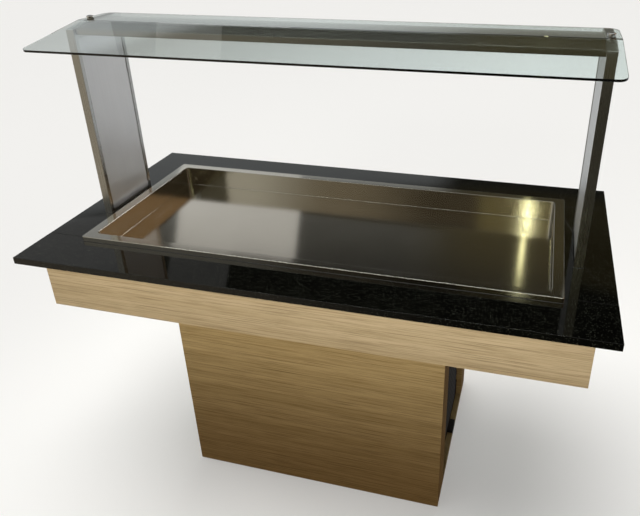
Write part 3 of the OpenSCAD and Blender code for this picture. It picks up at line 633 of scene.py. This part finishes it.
def leaf_details():
    """Hoods of both louvred leaves, the vent panel's screws and the door's turned pull."""
    # The louvred service door is a real part; its black also stands in for the shade inside the pedestal's
    # end opening, as painted shade.
    louvres("service_door", "door", 1)
    louvres("vent_panel", "root", -1)
    lo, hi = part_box("vent_panel")
    bm = bmesh.new()
    for y in (lo.y + 12 * MM, hi.y - 12 * MM):
        for z in (lo.z + 14 * MM, (lo.z + hi.z) / 2, hi.z - 14 * MM):
            screw(bm, (lo.x, y, z), "-X", 4.5)
    piece("vent_screws", bm, "root", "polished_trim", 35)
    foot_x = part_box("door_pull")[0].x
    at = middle("door_pull")
    bm = bmesh.new()
    lathe(bm, [(0, 0), (6.5, 0), (6.5, 0.9), (5.2, 2.2), (4.7, 5), (5.2, 8.2), (9.2, 10.2), (10, 11.6),
               (9.9, 14.2), (9.0, 15.5), (7.5, 16), (3.4, 16), (3.0, 15.2), (0, 15.2)],
          (foot_x, at.y, at.z), "X", 64)
    piece("pull_knob", bm, "door", "polished_trim", 35, ["door_pull"])


def drain_details():
    """Moulded drain plug with a grip."""
    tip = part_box("drain_plug")[0].z / MM
    at = middle("drain_plug")
    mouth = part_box("drain_strainer")[1].z / MM
    bm = bmesh.new()
    lathe(bm, [(0, tip), (9.4, tip), (10.3, tip + 1.2), (10.3, mouth - 4), (9.9, mouth - 3.4),
               (10.3, mouth - 2.8), (10.3, mouth + 0.2), (17.2, mouth + 0.2), (18, mouth + 0.9),
               (18, mouth + 1.8), (17, mouth + 2.7), (9, mouth + 3.4), (5, mouth + 4.4), (4, mouth + 6.5),
               (4, mouth + 10.5), (5.2, mouth + 12.2), (7.8, mouth + 13), (8, mouth + 14.3),
               (7.2, mouth + 15.6), (4, mouth + 16), (0, mouth + 16)], (at.x, at.y, 0), "Z", 64)
    piece("plug_moulding", bm, "plug", "rubber", 35, ["drain_plug"])


def control_details():
    """Plate screws, dial ticks along the knob's travel, and the fluted thermostat knob with its pointer."""
    lo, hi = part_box("control_plate")
    face = hi.y
    bm = bmesh.new()
    for x in (lo.x + 7 * MM, hi.x - 7 * MM):
        for z in (lo.z + 7 * MM, hi.z - 7 * MM):
            screw(bm, (x, face, z), "Y", 3.2)
    piece("plate_screws", bm, "root", "polished_trim", 35)
    dial = middle("thermostat_knob")
    centre = Matrix.Translation((dial.x, face, dial.z))
    bm = bmesh.new()
    for i in range(11):
        size = 3.4 if i % 5 == 0 else 2.2
        turn = centre @ Matrix.Rotation(math.radians(27 * i), 4, "Y")
        block(bm, (-0.35, -0.05, 19), (0.35, 0.12, 19 + size), 0, turn)
    piece("dial_ticks", bm, "root", "black_plastic")
    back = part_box("thermostat_knob")[0].y
    bm = bmesh.new()
    lathe(bm, [(0, 12.4), (3.1, 12.4), (3.1, 0), (16.4, 0), (17, 0.6), (17, 3.2), (16, 4.3), (13.4, 5, 0.1),
               (12.8, 6, 0.25), (12.5, 15.2, 0.25), (11.9, 16.2, 0.1), (10.8, 16.5), (0, 16.5)],
          (dial.x, back, dial.z), "Y", 144)
    piece("knob_grip", bm, "thermostat", "black_plastic", 45, ["thermostat_knob"])
    bm = bmesh.new()
    block(bm, (-0.8, 16.4, 4), (0.8, 17.3, 11.6), 0.25, Matrix.Translation((dial.x, back, dial.z)))
    piece("knob_pointer", bm, "thermostat", "white_plastic")


def lamp_details():
    """Glass lamp tube with metal end caps."""
    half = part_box("lamp_tube")[1].x / MM
    at = middle("lamp_tube")
    bm = bmesh.new()
    lathe(bm, [(6.4, -half + 17), (7.6, -half + 18), (8, -half + 20), (8, half - 20), (7.6, half - 18),
               (6.4, half - 17)], at, "X", 40)
    piece("lamp_glass_tube", bm, "root", "lamp_glass", 50, ["lamp_tube"])
    bm = bmesh.new()
    for axis in ("X", "-X"):
        lathe(bm, [(6.4, half - 20), (8.2, half - 20), (8.2, half - 2), (7.4, half - 0.6), (5, half),
                   (0, half)], at, axis, 40)
    piece("lamp_end_caps", bm, "root", "polished_trim", 40)


def levelling_feet():
    """Each foot: a moulded pad with a round boss, and a threaded stud."""
    for end in ("front_left", "front_right", "back_left", "back_right"):
        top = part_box("foot_" + end)[1].z / MM
        at = middle("foot_" + end)
        bm = bmesh.new()
        profile = [(0, 0), (23.5, 0), (24.6, 0.6), (25, 1.6), (25, 3.6), (24.2, 5), (20, 9.4), (13, 12.4),
                   (9, 13.4), (9, 18.8), (8.2, 20), (4.4, 20)]
        for k in range(int((top - 21.5) / 1.5)):
            profile += [(4.9, 20.6 + 1.5 * k), (4.3, 21.35 + 1.5 * k)]
        profile += [(4.3, top - 0.6), (3.6, top), (0, top)]
        lathe(bm, profile, (at.x, at.y, 0), "Z", 32)
        piece("levelling_foot_" + end, bm, "foot_" + end, "rubber", 60, ["foot_" + end])


def compressor_details():
    """Welded shell with a seam, on a foot plate with grommets, and the terminal box with its clip."""
    lo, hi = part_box("compressor")
    x = middle("compressor").x
    y = hi.y - 74 * MM
    bm = bmesh.new()
    dome = [(74 * math.cos(a), 130 + 44 * math.sin(a)) for a in (math.pi / 2 * k / 9 for k in range(1, 10))]
    wall = [(0, 16), (60, 16), (70, 20), (74, 28), (74, 84), (76, 86), (76, 91), (74, 93), (74, 130)]
    lathe(bm, wall + dome, (x, y, lo.z), "Z", 72)
    box = Matrix.Translation((x, y, lo.z))
    block(bm, (-88, -73, 15), (88, 73, 18), 1.2, box)
    block(bm, (-30, -90, 35), (30, -55, 85), 3, box)
    block(bm, (-33, -84, 58), (33, -81, 62), 0.8, box)
    piece("compressor_shell", bm, "root", "black_metal", 40, ["compressor"])
    bm = bmesh.new()
    for sx in (-75, 75):
        for sy in (-60, 60):
            lathe(bm, [(0, 0), (9, 0), (10, 1), (10, 6), (8.4, 8), (10, 10), (10, 13.5), (9, 15), (0, 15)],
                  (x + sx * MM, y + sy * MM, lo.z), "Z", 32)
            lathe(bm, [(0, 18), (7, 18), (7, 19.5), (4, 19.8), (4, 24), (3, 25), (0, 25)],
                  (x + sx * MM, y + sy * MM, lo.z), "Z", 24)
    piece("compressor_grommets", bm, "root", "rubber", 40)


def condenser_details():
    """Fin pack between end plates, with the tubes' return bends outside them."""
    lo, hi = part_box("condenser")
    at = middle("condenser")
    x, z0, z1 = (v / MM for v in (at.x, lo.z, hi.z))
    bm = bmesh.new()
    for y in (-149, 149):
        block(bm, (x - 20, y - 1, z0), (x + 20, y + 1, z1), 0.4)
    for z in (z0, z1 - 3):
        block(bm, (x - 20, -150, z), (x + 20, 150, z + 3), 0.4)
    for k in range(98):
        y = -145.5 + 3 * k
        block(bm, (x - 18, y - 0.2, z0 + 3), (x + 18, y + 0.2, z1 - 3), 0)
    piece("condenser_fins", bm, "root", "galvanised", 30, ["condenser"])
    bm = bmesh.new()
    for row in range(5):
        low = z0 + 31 + 48 * row
        for side in (-1, 1):
            base = low if side > 0 else low + 24
            if base + 24 > z1:
                continue
            arc = [Vector((x, side * (150 + 12 * math.sin(a)), base + 12 - 12 * math.cos(a))) * MM
                   for a in (math.pi * k / 10 for k in range(11))]
            start, end = (Vector((x, side * 149, z)) * MM for z in (base, base + 24))
            tube(bm, [start] + arc + [end], 4 * MM)
    piece("condenser_bends", bm, "root", "copper", 40)


def fan_details():
    """Fan with a bored hub and five curved blades."""
    at = middle("fan_blade")
    x = -229
    bm = bmesh.new()
    lathe(bm, [(3.1, x - 9), (17, x - 9), (21, x - 7.5), (22, x - 5), (22, x + 9), (3.1, x + 9)],
          (0, at.y, at.z), "X", 48, bore=True)
    stations = [(19, 24, 40), (35, 32, 36), (55, 40, 31), (75, 44, 28), (92, 42, 26), (99, 34, 25),
                (101.5, 18, 25)]
    for blade in range(5):
        start = TAU * blade / 5
        rings = []
        for r, chord, pitch in stations:
            tilt = math.radians(pitch)
            ring = []
            for k in range(16):
                a = TAU * k / 16
                s = chord / 2 * math.cos(a)
                t = 0.9 * math.sin(a) + 0.07 * chord * (1 - (2 * s / chord) ** 2)
                turn = start + (s * math.cos(tilt) - t * math.sin(tilt)) / r
                ring.append(Vector((x + s * math.sin(tilt) + t * math.cos(tilt), r * math.sin(turn),
                                    r * math.cos(turn))) * MM + Vector((0, at.y, at.z)))
            rings.append(ring)
        loft(bm, rings)
    piece("fan_wheel", bm, "fan", "fan_grey", 50, ["fan_blade"])


def refrigerant_pipes():
    """Suction, discharge and liquid lines with swept bends, and the spun filter drier."""
    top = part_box("refrigerant_lines")[1].z / MM
    shell = middle("compressor").x / MM
    bm = bmesh.new()
    for path in ([(180, -202.5, top), (180, -202.5, 178), (shell, -202.5, 178), (shell, -104, 178)],
                 [(shell, 44, 178), (shell, 130, 178), (-252, 130, 178)],
                 [(230, 202.5, top), (230, 202.5, 98), (-270, 202.5, 98), (-270, 150, 98)]):
        tube(bm, [p * MM for p in bent_path([Vector(p) for p in path], 14)], 4 * MM)
    lathe(bm, [(4, 146), (5, 148), (9, 153), (13, 160), (13, 246), (9, 253), (5, 258), (4, 260)],
          (0.23, 0.2025, 0), "Z", 32)
    piece("swept_pipes", bm, "root", "copper", 50, ["refrigerant_lines"])


def floor_finish():
    """Pale matt floor, lit a little from below as a light table is, so that shadows on it stay soft.

    Seen through the glass it runs from grey on the left to white on the right.
    """
    open_floor = (0.60, 0.60, 0.60)
    s = Surface("floor", open_floor, Roughness=0.9, Emission_Color=(1, 1, 0.99, 1), Emission_Strength=0.30)
    s.material.cycles.emission_sampling = "NONE"
    split = s.add("ShaderNodeSeparateXYZ")
    s.link(s.place, split.inputs[0])
    through = s.blend(s.remap(split.outputs["X"], -6.0, 0.5), (0.16, 0.155, 0.135), (0.68, 0.74, 0.75))
    rays = s.add("ShaderNodeLightPath")
    s.color(s.blend(rays.outputs["Is Transmission Ray"], open_floor, through))
    return s.material


def studio():
    """Pale floor, a soft key above, three fills that show only as light, and windows and lamps to reflect."""
    half = 30
    bm = bmesh.new()
    bm.faces.new([bm.verts.new((x * half, y * half, 0)) for x, y in ((-1, -1), (1, -1), (1, 1), (-1, 1))])
    mesh = bpy.data.meshes.new("floor")
    bm.to_mesh(mesh)
    bm.free()
    floor = bpy.data.objects.new("floor", mesh)
    bpy.context.scene.collection.objects.link(floor)
    mesh.materials.append(floor_finish())
    floor.visible_diffuse = False
    floor.visible_glossy = False
    surroundings()

    def area(name, at, target, size, radiance, color=(1, 1, 1)):
        data = bpy.data.lights.new(name, "AREA")
        data.shape = "RECTANGLE"
        data.size, data.size_y = size
        data.energy = radiance * math.pi * size[0] * size[1]
        data.color = color
        lamp = bpy.data.objects.new(name, data)
        lamp.location = at
        lamp.rotation_mode = "QUATERNION"
        lamp.rotation_quaternion = (Vector(target) - Vector(at)).to_track_quat("-Z", "Y")
        lamp.visible_transmission = False
        bpy.context.scene.collection.objects.link(lamp)
        return lamp

    key = bpy.data.lights.new("key", "SUN")
    key.energy = 2.8
    key.angle = math.radians(50)
    key.color = (1.0, 0.985, 0.96)
    sun = bpy.data.objects.new("key", key)
    sun.rotation_mode = "QUATERNION"
    sun.rotation_quaternion = Vector((0.16, -0.10, -1)).to_track_quat("-Z", "Y")
    sun.visible_glossy = False
    bpy.context.scene.collection.objects.link(sun)
    for name, at, target, size, radiance, spread in (
            ("front", (0, -2.3, 1.35), (0, -0.4, 0.90), (2.3, 0.4), 1.95, 38),
            ("fill_back", (0, 2.4, 1.35), (0, 0.4, 0.70), (2.2, 0.6), 1.1, 60),
            ("fill_left", (-2.6, 0, 1.2), (-0.7, 0, 0.70), (1.2, 0.6), 1.1, 60)):
        lamp = area(name, at, target, size, radiance, (0.98, 0.98, 0.90))
        lamp.data.spread = math.radians(spread)
        lamp.visible_glossy = False
    area("window_a", (-2.21, 3.5, 2.66), (-2.21, 0, 0.8), (1.3, 0.80), 0.60, (1.0, 0.98, 0.94))
    area("window_b", (-2.75, 3.5, 3.45), (-2.75, 0, 0.8), (0.7, 0.50), 0.20, (1.0, 1.0, 0.96))
    area("window_c", (-4.28, 3.5, 3.35), (-2.5, 0, 0.8), (1.25, 0.70), 0.28, (0.96, 0.98, 1.0))
    side = area("side_window", (1.8, 2.5, 1.3), (-0.71, 0, 0.84), (1.0, 0.8), 0.20, (0.96, 0.98, 1.0))
    side.data.spread = math.radians(24)
    area("lamp_behind", (0.56, 3.5, 2.62), (0.5, 0, 0.8), (0.03, 0.40), 5, (0.95, 0.92, 0.50))
    area("lamp_before", (0.57, -3.37, 2.45), (0.5, 0, 0.8), (0.07, 0.16), 44, (0.96, 0.97, 0.62))
    area("glow_before", (0.62, -3.40, 2.45), (0.5, 0, 0.8), (1.0, 0.6), 0.28, (0.92, 0.80, 0.28))


def surroundings():
    """Dim room for reflections: pale low down behind, warm at the front left; pale to the camera."""
    world = bpy.data.worlds.new("studio")
    bpy.context.scene.world = world
    world.use_nodes = True
    tree = world.node_tree

    def add(kind, **settings):
        node = tree.nodes.new(kind)
        for key, value in settings.items():
            setattr(node, key, value)
        return node

    def remap(source, low, high):
        node = add("ShaderNodeMapRange", interpolation_type="SMOOTHSTEP")
        node.inputs["From Min"].default_value = low
        node.inputs["From Max"].default_value = high
        tree.links.new(source, node.inputs["Value"])
        return node.outputs["Result"]

    def mix(factor, a, b):
        node = add("ShaderNodeMix", data_type="RGBA")
        tree.links.new(factor, node.inputs["Factor"])
        colours = [s for s in node.inputs if s.type == "RGBA"]
        for socket, value in zip(colours, (a, b)):
            if isinstance(value, tuple):
                socket.default_value = (*value, 1)
            else:
                tree.links.new(value, socket)
        return [s for s in node.outputs if s.type == "RGBA"][0]

    def plus(a, factor, b):
        node = add("ShaderNodeMath", operation="MULTIPLY_ADD")
        tree.links.new(a, node.inputs[0])
        node.inputs[1].default_value = factor
        tree.links.new(b, node.inputs[2])
        return node.outputs[0]

    split = add("ShaderNodeSeparateXYZ")
    tree.links.new(add("ShaderNodeTexCoord").outputs["Generated"], split.inputs[0])
    x, y, z = split.outputs
    front_low = mix(remap(x, 0.0, -0.6), (0.034, 0.032, 0.022), (0.46, 0.40, 0.31))
    front_side = mix(remap(z, -0.05, 0.10), front_low, (0.30, 0.26, 0.19))
    front_up = mix(remap(x, -0.14, -0.27), (0.10, 0.08, 0.05), (0.33, 0.28, 0.20))
    front_up = mix(remap(x, -0.30, -0.42), front_up, (0.85, 0.82, 0.72))
    front_up = mix(remap(z, 0.60, 0.80), front_up, (0.50, 0.50, 0.48))
    front_side = mix(remap(z, 0.15, 0.25), front_side, front_up)
    back_right = mix(remap(x, 0.40, 0.48), (0.035, 0.035, 0.030), (0.85, 0.85, 0.82))
    back_band = mix(remap(x, -0.10, -0.16), back_right, (0.45, 0.47, 0.47))
    back_near = mix(remap(x, 0.0, -0.35), (0.22, 0.215, 0.18), (0.60, 0.62, 0.61))
    back_band = mix(remap(z, 0.22, 0.28), back_near, back_band)
    back_low = mix(remap(x, 0.3, -0.2), (0.54, 0.55, 0.56), (0.80, 0.82, 0.82))
    back_low = mix(remap(z, -0.46, -0.54), back_low, (0.05, 0.04, 0.02))
    back_side = mix(remap(z, -0.06, 0.04), back_low, back_band)
    band = mix(remap(y, -0.25, 0.25), front_side, back_side)
    upper = mix(remap(x, -0.20, -0.05), (0.062, 0.058, 0.046), (0.085, 0.070, 0.032))
    upper = mix(remap(plus(x, -0.06, z), 0.492, 0.512), upper, (0.013, 0.012, 0.009))
    upper = mix(remap(x, 0.40, 0.50), upper, (0.42, 0.27, 0.14))
    upper = mix(remap(z, 0.62, 0.78), upper, (0.50, 0.50, 0.48))
    raised = plus(remap(x, 0.40, 0.46), 0.18, z)
    behind = mix(remap(raised, 0.385, 0.405), band, upper)
    room = mix(remap(y, -0.25, 0.0), band, behind)
    above = mix(remap(x, 0.5, -0.3), (0.06, 0.055, 0.045), (0.12, 0.12, 0.11))
    soft = mix(remap(z, -0.2, 0.2), (0.16, 0.07, 0.005), above)
    rays = add("ShaderNodeLightPath")
    room = mix(rays.outputs["Is Diffuse Ray"], room, soft)
    through = mix(remap(x, 0.10, -0.60), (0.26, 0.25, 0.22), (0.78, 0.78, 0.76))
    through = mix(remap(y, -0.10, 0.10), through, (0.80, 0.84, 0.85))
    through = mix(remap(z, -0.02, 0.05), through, room)
    room = mix(rays.outputs["Is Transmission Ray"], room, through)
    shown = mix(rays.outputs["Is Camera Ray"], room, (0.92, 0.92, 0.92))
    tree.links.new(shown, tree.nodes["Background"].inputs["Color"])


def paint_frame():
    """Gives every CAD node the material of its slot, and rounds the edges that show."""
    slots = {row["node"]: row["material_slot"] for row in frame["record"]["subparts"]}
    for node, obj in frame["nodes"].items():
        obj.data.materials.clear()
        obj.data.materials.append(MATERIALS[slots[node]])
    frame["nodes"]["upright_covers"].data.materials[0] = MATERIALS["cover_steel"]
    rounded = {
        1.2: "stone_front stone_back stone_left stone_right frame_front frame_back frame_cross",
        0.8: "apron_front apron_back apron_left apron_right pedestal_front pedestal_back side_frames "
             "base_board service_door vent_panel drain_valve valve_lever fan_shroud lamp_holders",
        0.5: "upright_left upright_right light_beam base_flanges stud_hardware glass_gaskets "
             "control_housings cooling_switch light_switch power_inlet drain_pipe beam_bolts cap_nuts",
        0.3: "control_plate diffuser drain_strainer unit_tray upright_covers"}
    for width, nodes in rounded.items():
        for node in nodes.split():
            soften(node, width * MM)


aim_camera()
bpy.context.scene.view_settings.view_transform = "Standard"
paint_frame()
pan()
canopy()
sealant()
cap_knob("left")
cap_knob("right")
leaf_details()
drain_details()
control_details()
lamp_details()
levelling_feet()
compressor_details()
condenser_details()
fan_details()
refrigerant_pipes()
studio()
